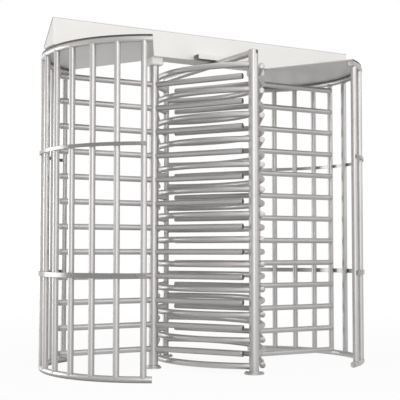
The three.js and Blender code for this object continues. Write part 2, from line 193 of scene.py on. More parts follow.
class TurnstileFinishes(bpy.types.PropertyGroup):
    steel: rgb("Satin steel", "Colour of the tubes", 0.470, 0.458, 0.450)
    band: rgb("Band steel", "Colour of the flat bands", 0.245, 0.238, 0.232)
    flange: rgb("Flange steel", "Colour of flanges and bearings", 0.47, 0.46, 0.45)
    beam: rgb("Beam paint", "Colour of the head beam", 0.815, 0.80, 0.781)
    roof: rgb("Roof paint", "Colour of the roof plates", 0.60, 0.585, 0.572)
    roof_edge: rgb("Roof edge", "Colour of the roof plates' curved edge", 0.045, 0.040, 0.037)
    housing: rgb("Housing paint", "Colour of the bearing housings", 0.80, 0.785, 0.77)
    # The next colour is painted shade: the inside of the clamp bracket is coloured darker where shade
    # falls.
    bracket_inside: rgb("Bracket inside", "Colour inside the clamp bracket", 0.36, 0.35, 0.34)
    # The next colour is painted shade in the beam's seam groove and along the end plates' sloped edges,
    # and the front post's plug's own colour.
    seal: rgb("Seals", "Colour of the seals and the post's plug", 0.085, 0.082, 0.08)
    cap_side: rgb("Arm cap side", "Colour of the arm caps' round sides", 0.45, 0.44, 0.432)
    # The caps' flat faces are coloured darker than their round sides, as painted shade.
    cap: rgb("Arm cap face", "Colour of the arm caps' flat faces", 0.24, 0.236, 0.231)
    cap_weld: rgb("Ground weld", "Colour of the ground seams at the arm caps", 0.46, 0.455, 0.45)
    weld: rgb("Weld", "Colour of the weld beads", 0.40, 0.39, 0.38)
    bolt: rgb("Bolt steel", "Colour of bolts and screws", 0.42, 0.415, 0.41)
    lock: rgb("Lock steel", "Colour of the lock's cams and pawls", 0.20, 0.20, 0.205)
    box: rgb("Control box", "Colour of the control box", 0.66, 0.66, 0.64)


class TurnstileStudio(bpy.types.PropertyGroup):
    key_power: bpy.props.FloatProperty(
        name="Key", description="Power of the tall soft lamp behind the camera", default=238.0,
        unit="POWER")
    top_power: bpy.props.FloatProperty(
        name="Top", description="Power of the soft lamp overhead", default=40.0, unit="POWER")
    rim_power: bpy.props.FloatProperty(
        name="Rim", description="Power of the lamp behind the left cage", default=118.0, unit="POWER")
    side_power: bpy.props.FloatProperty(
        name="Side", description="Power of the high soft lamp to the right of the front", default=120.0,
        unit="POWER")
    sky_level: bpy.props.FloatProperty(
        name="Sky", description="Level of the even light from all round", default=0.44, min=0.0)
    lens: bpy.props.FloatProperty(
        name="Lens", description="Focal length of the camera in millimetres", default=87.55, min=1.0,
        unit="CAMERA")


class Form:
    """The corners, faces, grain coordinates and finishes of one piece."""

    def __init__(self):
        self.points = []
        self.faces = []
        self.grains = []
        self.finishes = []

    def face(self, corners, grain, finish):
        self.faces.append(corners)
        self.grains.append(grain)
        self.finishes.append(finish)

    def skin(self, rings, finish=0, loop=False, caps=True):
        """Skins a row of rings. A ring of one point closes the skin to a pole."""
        starts = []
        for ring in rings:
            starts.append(len(self.points))
            self.points.extend(ring)
        gone = 0.0
        count = len(rings)
        for i in range(count if loop else count - 1):
            j = (i + 1) % count
            first, second = rings[i], rings[j]
            sides = max(len(first), len(second))
            step = (first[0] - second[0]).length
            width = (first[0] - first[1]).length if len(first) > 1 else (second[0] - second[1]).length
            for k in range(sides):
                n = (k + 1) % sides
                a = starts[i] + (k if len(first) > 1 else 0)
                b = starts[i] + (n if len(first) > 1 else 0)
                c = starts[j] + (n if len(second) > 1 else 0)
                d = starts[j] + (k if len(second) > 1 else 0)
                corners = []
                grain = []
                for corner, across, along in (
                        (a, k, gone), (b, k + 1, gone), (c, k + 1, gone + step), (d, k, gone + step)):
                    if corner not in corners:
                        corners.append(corner)
                        grain.append((across * width, along))
                if len(corners) > 2:
                    self.face(corners, grain, finish)
            gone += step
        if caps and not loop:
            for index in (0, count - 1):
                ring = rings[index]
                if len(ring) > 2:
                    corners = [starts[index] + k for k in range(len(ring))]
                    middle = sum(ring, Vector()) / len(ring)
                    grain = [((p - middle).x, (p - middle).y + (p - middle).z) for p in ring]
                    self.face(corners, grain, finish)


def heading(angle):
    """The level direction at an angle from the X axis."""
    return Vector((math.cos(angle), math.sin(angle), 0))


def along_x(section, places):
    """Rings of one section of pairs of Y and Z, at places along the X axis."""
    return [[Vector((x, y, z)) for y, z in section] for x in places]


def on_radius(outline, along=0.0, radius=0.0):
    """Turns a small outline in millimetres into pairs of distance and radius."""
    return [(along + step * MM, radius + out * MM) for step, out in outline]


def circle(centre, across, upward, radius, sides):
    if radius < 1e-6:
        return [centre.copy()]
    return [
        centre + across * (radius * math.cos(turn)) + upward * (radius * math.sin(turn))
        for turn in (2 * math.pi * k / sides for k in range(sides))
    ]


def straight(start, direction):
    """Places along a straight line: the centre and two directions square to it."""
    direction = direction.normalized()
    helper = UP if abs(direction.z) < 0.9 else Vector((0, 1, 0))
    across = helper.cross(direction).normalized()
    upward = direction.cross(across)
    return lambda s: (start + direction * s, across, upward)


def level_arc(x, radius, height, start):
    """Places along a level arc about an upright axis on the X axis."""
    def place(s):
        out = heading(start + s / radius)
        return Vector((x, 0, height)) + out * radius, out, UP
    return place


def turned(form, place, profile, sides, finish=0, caps=True):
    """A round form along a path, from pairs of distance and radius."""
    rings = []
    for distance, radius in profile:
        centre, across, upward = place(distance)
        rings.append(circle(centre, across, upward, radius, sides))
    form.skin(rings, finish, caps=caps)


def run(start, end, radius, step):
    """An even stretch of a profile, in parts of about one step."""
    count = max(1, round(abs(end - start) / step))
    return [(start + (end - start) * i / count, radius) for i in range(count + 1)]


def closed_tube(length, radius, wall, step):
    """The profile of a tube with a thin disc set in each end."""
    lip = wall * 0.3
    disc = wall * 0.5
    bore = radius - wall
    start = [(disc, 0.0), (disc, bore - lip), (lip, bore), (0.0, bore + lip), (0.0, radius - lip)]
    end = [(length - along, out) for along, out in reversed(start)]
    return start + run(lip, length - lip, radius, step) + end


def weld(form, centre, outward, side, host_radius, bar_radius, size, finish):
    """A rippled bead where a round bar meets a round host at a right angle."""
    along = outward.cross(side)
    loop = []
    for k in range(WELD_STEPS):
        turn = 2 * math.pi * k / WELD_STEPS
        off = bar_radius * math.cos(turn)
        depth = math.sqrt(max(host_radius ** 2 - off ** 2, 0.0))
        loop.append(centre + outward * depth + side * off + along * (bar_radius * math.sin(turn)))
    ripple = 0.18
    rings = []
    for k in range(WELD_STEPS):
        tangent = (loop[(k + 1) % WELD_STEPS] - loop[k - 1]).normalized()
        inward = centre + outward * host_radius - loop[k]
        inward = (inward - tangent * inward.dot(tangent)).normalized()
        radius = size * (1.0 + ripple * (k % 2))
        rings.append(circle(loop[k], inward, tangent.cross(inward), radius, WELD_SIDES))
    form.skin(rings, finish, loop=True)


def make_piece(name, form, finishes, nodes=(), body="frame", sharp=40.0, bevel=0.0):
    """Turns a form into an object that rides on a body."""
    if not form.faces:
        raise RuntimeError(f"{name} came out with no faces")
    mesh = bpy.data.meshes.new(name)
    mesh.from_pydata(form.points, [], form.faces)
    layer = mesh.uv_layers.new(name="grain")
    for polygon, grain, finish in zip(mesh.polygons, form.grains, form.finishes):
        polygon.material_index = finish
        for corner, value in zip(polygon.loop_indices, grain):
            layer.data[corner].uv = value
    work = bmesh.new()
    work.from_mesh(mesh)
    bmesh.ops.recalc_face_normals(work, faces=work.faces)
    limit = math.radians(sharp)
    for face in work.faces:
        face.smooth = True
    for edge in work.edges:
        edge.smooth = len(edge.link_faces) == 2 and edge.calc_face_angle(0.0) < limit
    work.to_mesh(mesh)
    work.free()
    for wanted in finishes:
        mesh.materials.append(material_of(wanted))
    piece = bpy.data.objects.new(name, mesh)
    bpy.context.scene.collection.objects.link(piece)
    if bevel:
        rounding = piece.modifiers.new("edge rounding", "BEVEL")
        rounding.width = bevel
        rounding.segments = 2
        rounding.limit_method = "ANGLE"
        rounding.angle_limit = limit
        rounding.harden_normals = True
    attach(piece, body)
    if nodes:
        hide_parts(*nodes)


def new_material(name, metallic=0.0):
    """A material with its node tree and its main shader."""
    material = bpy.data.materials.new(name)
    material.use_nodes = True
    shader = material.node_tree.nodes["Principled BSDF"]
    shader.inputs["Metallic"].default_value = metallic
    return material, material.node_tree, shader


def fill(tree, node, inputs):
    """Gives each input another node's output, or a value of its own."""
    for key, given in inputs.items():
        if isinstance(given, bpy.types.NodeSocket):
            tree.links.new(given, node.inputs[key])
        else:
            node.inputs[key].default_value = given


def add_node(tree, kind, inputs, operation=None):
    node = tree.nodes.new(kind)
    if operation:
        node.operation = operation
    fill(tree, node, inputs)
    return node


def map_range(tree, value, source, target):
    """Carries a value from one range into another, and holds it at the ends."""
    node = add_node(tree, "ShaderNodeMapRange", {
        "Value": value, "From Min": source[0], "From Max": source[1],
        "To Min": target[0], "To Max": target[1]})
    return node.outputs["Result"]


def math_node(tree, operation, *values):
    return add_node(tree, "ShaderNodeMath", dict(enumerate(values)), operation).outputs["Value"]


def object_space(tree):
    return tree.nodes.new("ShaderNodeTexCoord").outputs["Object"]


def varied_colour(tree, shader, colour, vector, scale, spread):
    """Lets a noise carry the colour a little lighter and darker."""
    noise = add_node(tree, "ShaderNodeTexNoise", {"Vector": vector, "Scale": scale, "Detail": 4.0})
    ramp = add_node(tree, "ShaderNodeValToRGB", {"Fac": noise.outputs["Fac"]})
    factors = (1.0 - spread, 1.0 + spread)
    for element, position, factor in zip(ramp.color_ramp.elements, NOISE_SPAN, factors):
        element.position = position
        element.color = [min(1.0, channel * factor) for channel in colour[:3]] + [1.0]
    fill(tree, shader, {"Base Color": ramp.outputs["Color"]})
    return noise


def textured(tree, shader, source, low, high, strength, distance):
    """Lets a noise carry the roughness between two levels, and a fine relief."""
    rough = map_range(tree, source, NOISE_SPAN, (low, high))
    bump = add_node(tree, "ShaderNodeBump", {"Height": source, "Strength": strength, "Distance": distance})
    fill(tree, shader, {"Roughness": rough, "Normal": bump.outputs["Normal"]})


def satin_steel(name, colour, metallic, low, high):
    """Satin steel tube: fine grain round the tube, and faint broad patches."""
    material, tree, shader = new_material(name, metallic)
    varied_colour(tree, shader, colour, object_space(tree), scale=2.2, spread=0.05)
    grain_map = tree.nodes.new("ShaderNodeUVMap")
    grain_map.uv_map = "grain"
    stretch = add_node(tree, "ShaderNodeMapping", {
        "Vector": grain_map.outputs["UV"], "Scale": (12.0, 900.0, 1.0)})
    grain = add_node(tree, "ShaderNodeTexNoise", {
        "Vector": stretch.outputs["Vector"], "Scale": 1.0, "Detail": 3.0})
    textured(tree, shader, grain.outputs["Fac"], low, high, strength=0.08, distance=0.0004)
    return material


def powder_paint(name, colour, metallic, low, high):
    """Powder paint: fine orange peel and a slight drift of tone."""
    material, tree, shader = new_material(name, metallic)
    place = object_space(tree)
    varied_colour(tree, shader, colour, place, scale=1.6, spread=0.025)
    peel = add_node(tree, "ShaderNodeTexNoise", {"Vector": place, "Scale": 420.0, "Detail": 2.0})
    textured(tree, shader, peel.outputs["Fac"], low, high, strength=0.10, distance=0.0005)
    return material


def speckled(name, colour, metallic, low, high, scale, spread, strength, distance):
    """A finish whose colour, roughness and relief all follow one fine noise."""
    material, tree, shader = new_material(name, metallic)
    noise = varied_colour(tree, shader, colour, object_space(tree), scale, spread)
    textured(tree, shader, noise.outputs["Fac"], low, high, strength, distance)
    return material


def plain_metal(*given):
    """Flat or small steel: a fine speckle in place of a drawn grain."""
    return speckled(*given, scale=55.0, spread=0.07, strength=0.15, distance=0.0006)


def weld_metal(*given):
    """Brushed-off weld beads: duller, with fine ripples."""
    return speckled(*given, scale=180.0, spread=0.16, strength=0.35, distance=0.001)


def moulded_plastic(*given):
    """Moulded plastic with a fine spark-eroded skin."""
    return speckled(*given, scale=320.0, spread=0.05, strength=0.12, distance=0.0005)


# Each finish under its colour's name: its maker, its material's name, its metallic level, and its lowest
# and highest roughness.
FINISHES = {
    "steel": (satin_steel, "satin_steel", 0.85, 0.36, 0.48),
    "band": (plain_metal, "band_steel", 0.85, 0.22, 0.31),
    "flange": (plain_metal, "flange_steel", 0.8, 0.34, 0.5),
    "weld": (weld_metal, "weld_bead", 0.7, 0.42, 0.62),
    "beam": (powder_paint, "beam_paint", 0.0, 0.42, 0.56),
    "housing": (powder_paint, "housing_paint", 0.0, 0.36, 0.5),
    "bracket_inside": (powder_paint, "bracket_inside_paint", 0.0, 0.5, 0.65),
    "roof": (powder_paint, "roof_paint", 0.3, 0.4, 0.55),
    "roof_edge": (powder_paint, "roof_edge_paint", 0.0, 0.5, 0.65),
    # The plug's own finish, also used for painted shade on the head beam.
    "seal": (moulded_plastic, "beam_seal_rubber", 0.0, 0.38, 0.52),
    # The darker cap face finish is painted shade on the same steel as the cap's side.
    "cap": (plain_metal, "arm_cap_steel", 0.85, 0.26, 0.38),
    "cap_side": (plain_metal, "arm_cap_side", 0.85, 0.3, 0.42),
    "cap_weld": (plain_metal, "ground_weld", 0.7, 0.3, 0.42),
    "box": (moulded_plastic, "control_box_plastic", 0.0, 0.38, 0.52),
    "lock": (plain_metal, "lock_steel", 0.9, 0.28, 0.42),
    "bolt": (plain_metal, "bolt_steel", 0.9, 0.25, 0.38),
}
MATERIALS = {}


def material_of(wanted):
    """The material of a finish, made when it is first asked for."""
    if wanted not in MATERIALS:
        maker, name, *levels = FINISHES[wanted]
        colour = getattr(bpy.context.scene.turnstile_finishes, wanted)
        MATERIALS[wanted] = maker(name, colour, *levels)
    return MATERIALS[wanted]


def sizes():
    return bpy.context.scene.turnstile_sizes


def row_heights(lane):
    return [lane["low"] + row * ROW_PITCH for row in range(lane["rows"])]


def wings():
    """Each wing's side, name and direction at rest, and where its arms start in the column."""
    for side, lane in LANES.items():
        starts = [Vector((lane["x"], 0, height)) for height in row_heights(lane)]
        order = ("outer", "front", "back") if side == "left" else ("outer", "back", "front")
        for k, wing in enumerate(order):
            yield side, wing, heading(lane["outward"] + k * 2 * math.pi / 3), starts


def node_box(name):
    """The lowest and highest corners of a node of the frame."""
    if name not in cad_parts:
        raise RuntimeError(f"The frame has no node named {name}")
    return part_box(name)


def hex_bolt(form, centre, radius, height, finish):
    """A hex head with a chamfered top, on a round washer."""
    for shares, sides in ((WASHER_SHARES, WASHER_SIDES), (HEX_HEAD_SHARES, 6)):
        profile = [(height * along, radius * out) for along, out in shares]
        turned(form, straight(centre, UP), profile, sides, finish)


def bore_plug(form, centre, host_radius, finish):
    """A square plug with soft corners, bent to the round side of a post."""
    rings = []
    for stand_off, share in PLUG_RINGS:
        ring = []
        for k in range(PLUG_SIDES):
            turn = 2 * math.pi * k / PLUG_SIDES
            blunt = max(abs(math.cos(turn)), abs(math.sin(turn))) ** PLUG_SQUARENESS
            reach = PLUG_HALF_WIDTH * share / blunt
            out = heading(PLUG_ANGLE + reach * math.cos(turn) / host_radius)
            ring.append(centre + out * (host_radius + stand_off * MM) + UP * (reach * math.sin(turn)))
        rings.append(ring)
    form.skin(rings, finish)


class ColumnsOperator(bpy.types.Operator):
    """Makes the two rotor columns with their shafts"""
    bl_idname = "turnstile.columns"
    bl_label = "Rotor columns"

    def execute(self, context):
        radius = sizes().column_diameter / 2
        soft = 0.0012
        bore, bore_depth = 0.016, 0.040
        shaft, chamfer = 0.0149, 0.001
        clearance = 0.0005
        for side, lane in LANES.items():
            node = f"{side}_rotor_column"
            low, high = node_box(node)
            top = node_box(f"{side}_bearing_housing")[0].z - clearance
            profile = [(low.z + bore_depth, 0.0), (low.z + bore_depth, bore), (low.z, bore)]
            profile += [(low.z, radius - soft), (low.z + soft, radius)]
            profile += [(low.z + part * COLUMN_PART, radius) for part in (1, 2, 3)]
            profile += on_radius(COLUMN_GROOVE, top, radius)
            profile += [(top, shaft), (high.z - chamfer, shaft), (high.z, shaft - chamfer), (high.z, 0.0)]
            form = Form()
            turned(form, straight(Vector((lane["x"], 0, 0)), UP), profile, POST_SIDES)
            make_piece(f"{side}_column_tube", form, ["steel"], [node], f"{side}_rotor")
        return {"FINISHED"}


class WingsOperator(bpy.types.Operator):
    """Makes the arms of the six wings, welded to their columns"""
    bl_idname = "turnstile.wings"
    bl_label = "Rotor wings"

    def execute(self, context):
        size = sizes()
        radius = size.arm_diameter / 2
        host = size.column_diameter / 2
        root = host * ARM_ROOT_SHARE
        lip = size.tube_wall * 0.4
        bore = radius - size.tube_wall
        bore_end = ARM_TUBE_END - 0.02
        profile = [(root, 0.0)] + run(root, ARM_TUBE_END - lip, radius, ARM_PART)
        profile += [(ARM_TUBE_END, radius - lip), (ARM_TUBE_END, bore), (bore_end, bore), (bore_end, 0.0)]
        for side, wing, outward, starts in wings():
            form = Form()
            for start in starts:
                turned(form, straight(start, outward), profile, TUBE_SIDES)
                weld(form, start, outward, UP.cross(outward), host, radius, size.weld_size, 1)
            make_piece(f"{side}_{wing}_wing_arms", form, ["steel", "weld"],
                       [f"{side}_rotor_{wing}_wing"], f"{side}_rotor")
        return {"FINISHED"}


class CapsOperator(bpy.types.Operator):
    """Makes the steel caps in the ends of the arms"""
    bl_idname = "turnstile.caps"
    bl_label = "Arm caps"

    def execute(self, context):
        radius = sizes().arm_diameter / 2
        clearance, depth = 0.0002, 0.016
        bore = radius - sizes().tube_wall - clearance
        plug_end = ARM_TUBE_END - depth
        body = [(plug_end, 0.0), (plug_end, bore), (ARM_TUBE_END + CAP_START[0][0] * MM, bore)]
        body += on_radius(CAP_START, ARM_TUBE_END, radius) + on_radius(CAP_SHOULDER, ARM_REACH, radius)
        face = on_radius(CAP_FACE, ARM_REACH, radius) + [(ARM_REACH, 0.0)]
        seam = on_radius(CAP_SEAM, ARM_TUBE_END, radius)
        seam = [(seam[0][0], bore)] + seam + [(seam[-1][0], bore)]
        for side, wing, outward, starts in wings():
            form = Form()
            for start in starts:
                place = straight(start, outward)
                turned(form, place, body, TUBE_SIDES, 2, caps=False)
                # The flat face takes the darker cap colour, as painted shade.
                turned(form, place, face, TUBE_SIDES, caps=False)
                turned(form, place, seam, TUBE_SIDES, 1)
            make_piece(f"{side}_{wing}_wing_caps", form,
                       ["cap", "cap_weld", "cap_side"], body=f"{side}_rotor")
        return {"FINISHED"}


class CageRingsOperator(bpy.types.Operator):
    """Makes the bent rings at the foot and the top of each cage"""
    bl_idname = "turnstile.cage_rings"
    bl_label = "Cage rings"

    def execute(self, context):
        size = sizes()
        radius = size.ring_diameter / 2
        profile = closed_tube(2 * CAGE_HALF_ANGLE * CAGE_RADIUS, radius, size.tube_wall, RING_PART)
        for side, lane in LANES.items():
            for level, height in (("bottom", radius), ("top", TOP_RING_HEIGHT)):
                place = level_arc(lane["x"], CAGE_RADIUS, height, lane["outward"] - CAGE_HALF_ANGLE)
                form = Form()
                turned(form, place, profile, TUBE_SIDES)
                make_piece(f"{side}_{level}_ring_tube", form,
                           ["steel"], [f"{side}_cage_{level}_ring"])
        return {"FINISHED"}


def upright_angle(side, number):
    """Uprights are numbered round the cage, from the lane's own first end."""
    return LANES[side]["outward"] + (number - (UPRIGHT_COUNT - 1) / 2) * UPRIGHT_STEP


class UprightsOperator(bpy.types.Operator):
    """Makes the upright tubes of the cages with their welds"""
    bl_idname = "turnstile.uprights"
    bl_label = "Cage uprights"

    def execute(self, context):
        size = sizes()
        radius = size.upright_diameter / 2
        ring = size.ring_diameter / 2
        profile = run(ring, TOP_RING_HEIGHT, radius, UPRIGHT_PART)
        for side, lane in LANES.items():
            for number in range(UPRIGHT_COUNT):
                out = heading(upright_angle(side, number))
                foot = Vector((lane["x"], 0, 0)) + out * CAGE_RADIUS
                form = Form()
                turned(form, straight(foot, UP), profile, TUBE_SIDES)
                for height, away in ((ring, UP), (TOP_RING_HEIGHT, -UP)):
                    weld(form, foot + UP * height, away, out, ring, radius, size.weld_size, 1)
                make_piece(f"{side}_upright_tube_{number + 1:02d}", form,
                           ["steel", "weld"], [f"{side}_cage_upright_{number + 1:02d}"])
        return {"FINISHED"}


class BandsOperator(bpy.types.Operator):
    """Makes the flat bands that run round the outside of each cage"""
    bl_idname = "turnstile.bands"
    bl_label = "Cage bands"

    def execute(self, context):
        width = sizes().upright_diameter
        inner = CAGE_RADIUS + width / 2 + TOUCH_GAP
        span = (UPRIGHT_COUNT - 1) / 2 * UPRIGHT_STEP + width / CAGE_RADIUS / 2
        thick, soft = BAND_THICKNESS, 0.0012
        for side, lane in LANES.items():
            for level, (middle, height) in BANDS.items():
                half = height / 2
                section = [
                    (0, -half + soft), (soft, -half), (thick - soft, -half), (thick, -half + soft),
                    (thick, half - soft), (thick - soft, half), (soft, half), (0, half - soft),
                ]
                form = Form()
                rings = []
                for part in range(BAND_PARTS + 1):
                    out = heading(lane["outward"] + span * (2 * part / BAND_PARTS - 1))
                    rings.append([
                        Vector((lane["x"], 0, middle + rise)) + out * (inner + depth)
                        for depth, rise in section
                    ])
                form.skin(rings)
                # The side that lies on the uprights is satin steel like them.
                for part in range(1, BAND_PARTS + 1):
                    form.finishes[part * len(section) - 1] = 2
                for number in range(UPRIGHT_COUNT):
                    out = heading(upright_angle(side, number))
                    for edge in (-half, half):
                        seat = Vector((lane["x"], 0, middle + edge)) + out * inner
                        turned(form, straight(seat, UP.cross(out)), on_radius(BAND_WELD),
                               BAND_WELD_SIDES, 1)
                make_piece(f"{side}_{level}_band_strip", form,
                           ["band", "weld", "steel"], [f"{side}_cage_{level}_band"])
        return {"FINISHED"}


class RoofsOperator(bpy.types.Operator):
    """Makes the roof plates on the cages"""
    bl_idname = "turnstile.roofs"
    bl_label = "Roof plates"

    def execute(self, context):
        radius = CAGE_RADIUS + ROOF_OVERHANG
        corner = ROOF_INNER_EDGE * math.tan(CAGE_HALF_ANGLE)
        outline = [(ROOF_INNER_EDGE, corner), (ROOF_INNER_EDGE, -corner)]
        for part in range(ROOF_PARTS + 1):
            angle = CAGE_HALF_ANGLE * (2 * part / ROOF_PARTS - 1)
            outline.append((radius * math.cos(angle), radius * math.sin(angle)))
        for side, lane in LANES.items():
            node = f"{side}_roof_plate"
            low, high = node_box(node)
            flip = -1 if side == "left" else 1
            form = Form()
            form.skin([
                [Vector((lane["x"] + flip * x, flip * y, height)) for x, y in outline]
                for height in (low.z, high.z)
            ])
            for rim_side in range(2, len(outline) - 1):
                form.finishes[rim_side] = 1
            make_piece(f"{side}_roof_sheet", form,
                       ["roof", "roof_edge"], [node], sharp=30, bevel=0.0006)
        return {"FINISHED"}


class GuardsOperator(bpy.types.Operator):
    """Makes the two sets of bent guard bars between the posts"""
    bl_idname = "turnstile.guards"
    bl_label = "Guard bars"

    def execute(self, context):
        size = sizes()
        radius = size.guard_diameter / 2
        front = size.front_post_diameter / 2
        back = size.back_post_diameter / 2
        length = 2 * POST_ANGLE * GUARD_RADIUS
        # Each set bends round the other lane's column, from its first post to its second.
        for side, other, first, second in (
                ("left", "right", back, front), ("right", "left", front, back)):
            lane = LANES[other]
            begin = LANES[side]["outward"] - POST_ANGLE
            roots = first * GUARD_ROOT_SHARE, length - second * GUARD_ROOT_SHARE
            profile = run(*roots, radius, GUARD_PART)
            form = Form()
            for height in row_heights(lane):
                place = level_arc(lane["x"], GUARD_RADIUS, height, begin)
                turned(form, place, profile, TUBE_SIDES)
                for distance, post, sign in ((0.0, first, 1), (length, second, -1)):
                    centre, out, upward = place(distance)
                    weld(form, centre, upward.cross(out) * sign, out, post, radius, size.weld_size, 1)
            make_piece(f"{side}_guard_tubes", form,
                       ["steel", "weld"], [f"{side}_guard_bars"])
        return {"FINISHED"}


class PostsOperator(bpy.types.Operator):
    """Makes the front and back posts and their bolted flanges"""
    bl_idname = "turnstile.posts"
    bl_label = "Posts and flanges"

    def execute(self, context):
        size = sizes()
        wall, bore_depth = 0.003, 0.020
        plate, weld_leg = 0.012, 0.004
        bolt_seat, bolt_radius, bolt_height = 0.0118, 0.0065, 0.0075
        for post, y, diameter in (
                ("front", -POST_Y, size.front_post_diameter), ("back", POST_Y, size.back_post_diameter)):
            radius = diameter / 2
            bore = radius - wall
            foot = Vector((0, y, 0))
            low, high = node_box(f"{post}_post")
            profile = [(low.z + bore_depth, 0.0), (low.z + bore_depth, bore)]
            profile += [(low.z, bore), (low.z, radius)]
            profile += [(low.z + part * POST_PART, radius) for part in (1, 2, 3)]
            profile += on_radius(POST_CROWN, high.z, radius) + [(high.z, 0.0)]
            form = Form()
            turned(form, straight(foot, UP), profile, POST_SIDES)
            if post == "front":
                bore_plug(form, foot + UP * (high.z - PLUG_DROP), radius, 1)
            make_piece(f"{post}_post_tube", form, ["steel", "seal"], [f"{post}_post"])

            low, high = node_box(f"{post}_post_flange")
            flange = (high.x - low.x) / 2
            profile = [(0.0, 0.0)] + on_radius(POST_FLANGE_RIM, 0.0, flange)
            profile += on_radius(POST_FLANGE_COLLAR, 0.0, radius) + [(plate, 0.0)]
            form = Form()
            turned(form, straight(foot, UP), profile, POST_SIDES)
            for k in range(4):
                seat = foot + heading(math.pi / 4 + k * math.pi / 2) * (flange + radius + weld_leg) / 2
                hex_bolt(form, seat + UP * bolt_seat, bolt_radius, bolt_height, 1)
            make_piece(f"{post}_flange_plate", form,
                       ["flange", "bolt"], [f"{post}_post_flange"])
        return {"FINISHED"}


class FloorBearingsOperator(bpy.types.Operator):
    """Makes the floor bearings under the columns"""
    bl_idname = "turnstile.floor_bearings"
    bl_label = "Floor bearings"

    def execute(self, context):
        radius = sizes().column_diameter / 2
        collar, well_floor = 0.0475, 0.011
        pin, chamfer = 0.014, 0.001
        for side, lane in LANES.items():
            low, high = node_box(f"{side}_floor_bearing")
            profile = [(0.0, 0.0)] + on_radius(FLOOR_FLANGE_RIM, 0.0, (high.x - low.x) / 2)
            profile += on_radius(FLOOR_FLANGE_COLLAR, 0.0, collar)
            profile += on_radius(FLOOR_FLANGE_WELL, 0.0, radius)
            profile += [(well_floor, pin), (high.z - chamfer, pin)]
            profile += [(high.z, pin - chamfer), (high.z, 0.0)]
            form = Form()
            turned(form, straight(Vector((lane["x"], 0, 0)), UP), profile, POST_SIDES)
            make_piece(f"{side}_floor_flange", form,
                       ["flange"], [f"{side}_floor_bearing"])
        return {"FINISHED"}


class CrossTubeOperator(bpy.types.Operator):
    """Makes the tube between the tops of the posts"""
    bl_idname = "turnstile.cross_tube"
    bl_label = "Cross tube"

    def execute(self, context):
        size = sizes()
        radius = size.cross_tube_diameter / 2
        low, high = node_box("cross_tube")
        front = Vector((0, -POST_Y, (low.z + high.z) / 2))
        length = 2 * POST_Y
        forward, across = Vector((0, 1, 0)), Vector((1, 0, 0))
        root_in_front, root_at_back = 0.020, 0.016
        form = Form()
        profile = run(root_in_front, length - root_at_back, radius, CROSS_TUBE_PART)
        turned(form, straight(front, forward), profile, CROSS_TUBE_SIDES)
        for centre, along, post in (
                (front, forward, size.front_post_diameter),
                (front + forward * length, -forward, size.back_post_diameter)):
            weld(form, centre, along, across, post / 2, radius, size.weld_size, 1)
        make_piece("cross_tube_run", form, ["steel", "weld"], ["cross_tube"])
        return {"FINISHED"}


class HeadBeamOperator(bpy.types.Operator):
    """Makes the folded cover and the two end plates of the head beam"""
    bl_idname = "turnstile.head_beam"
    bl_label = "Head beam"

    def make_cover(self):
        low, high = node_box("head_beam_cover")
        sheet = 0.003
        depth = high.y - low.y
        rise = high.z - low.z
        slope = math.hypot(depth, rise)
        inner_top = low.z + ((depth - sheet) * rise - sheet * slope) / depth
        bend, seam, below_bend = 0.0035, 0.0012, 0.003
        bulge, drop, past = bend * 0.3, bend * 0.35, bend * 1.05
        seam_top = high.z - bend - below_bend
        section = [
            (low.y, low.z), (low.y, seam_top - seam), (low.y + seam, seam_top - seam),
            (low.y + seam, seam_top), (low.y, seam_top),
            (low.y, high.z - bend), (low.y + bulge, high.z - drop), (low.y + past, high.z - past),
            (high.y, low.z), (high.y - sheet * slope / rise, low.z),
            (low.y + sheet, inner_top), (low.y + sheet, low.z),
        ]
        form = Form()
        form.skin(along_x(section, (low.x, 0.0, high.x)))
        # Both halves paint the three sides of the seam groove near black, as painted shade.
        for half in (0, len(section)):
            for seam_side in (1, 2, 3):
                form.finishes[half + seam_side] = 2
        downhill = Vector((0, depth, -rise)).normalized()
        away = Vector((0, rise, depth)).normalized()
        ridge = Vector((0, low.y + bend, high.z - bend))
        from_end, apart, sunk = 0.012, 0.60, 0.0012
        from_ridge, from_eave = 0.035, 0.040
        for x in (low.x + from_end, -apart, 0.0, apart, high.x - from_end):
            for down in (from_ridge, slope - from_eave):
                seat = Vector((x, 0, 0)) + ridge + downhill * down - away * sunk
                turned(form, straight(seat, away), on_radius(COVER_SCREW), SCREW_SIDES, 1)
        make_piece("beam_cover_sheet", form,
                   ["beam", "bolt", "seal"], ["head_beam_cover"], sharp=24)

    def make_end(self, side):
        node = f"head_beam_{side}_end"
        low, high = node_box(node)
        head, seal = 0.0012, 0.0065
        if side == "left":
            out, face, inner = Vector((-1, 0, 0)), low.x + head, high.x
        else:
            out, face, inner = Vector((1, 0, 0)), high.x - head, low.x
        form = Form()
        form.skin(along_x([(low.y, low.z), (low.y, high.z), (high.y, low.z)], (face, inner)))
        front, foot, far = 0.014, 0.016, 0.055
        for y, z in ((low.y + front, low.z + foot), (low.y + front, high.z - far),
                     (high.y - far, low.z + foot)):
            seat = Vector((face, y, z)) - out * head
            turned(form, straight(seat, out), on_radius(END_SCREW), SCREW_SIDES, 1)
        # A near-black strip, as wide as the second size above, runs along the end plate's sloped edge as
        # painted shade.
        fall = Vector((0, high.y - low.y, low.z - high.z)).normalized()
        inward = Vector((0, fall.z, -fall.y))
        below_top, above_foot = 0.004, 0.012
        behind, before, across = -out * head * 0.5, out * head * 0.8, inward * seal
        form.skin([
            [end + behind, end + before, end + before + across, end + behind + across] for end in (
                Vector((face, low.y, high.z)) + fall * below_top + inward * TOUCH_GAP,
                Vector((face, high.y, low.z)) - fall * above_foot + inward * TOUCH_GAP)
        ], 2)
        make_piece(f"beam_{side}_end_plate", form,
                   ["beam", "bolt", "seal"], [node], sharp=24)

    def execute(self, context):
        self.make_cover()
        for side in LANES:
            self.make_end(side)
        return {"FINISHED"}


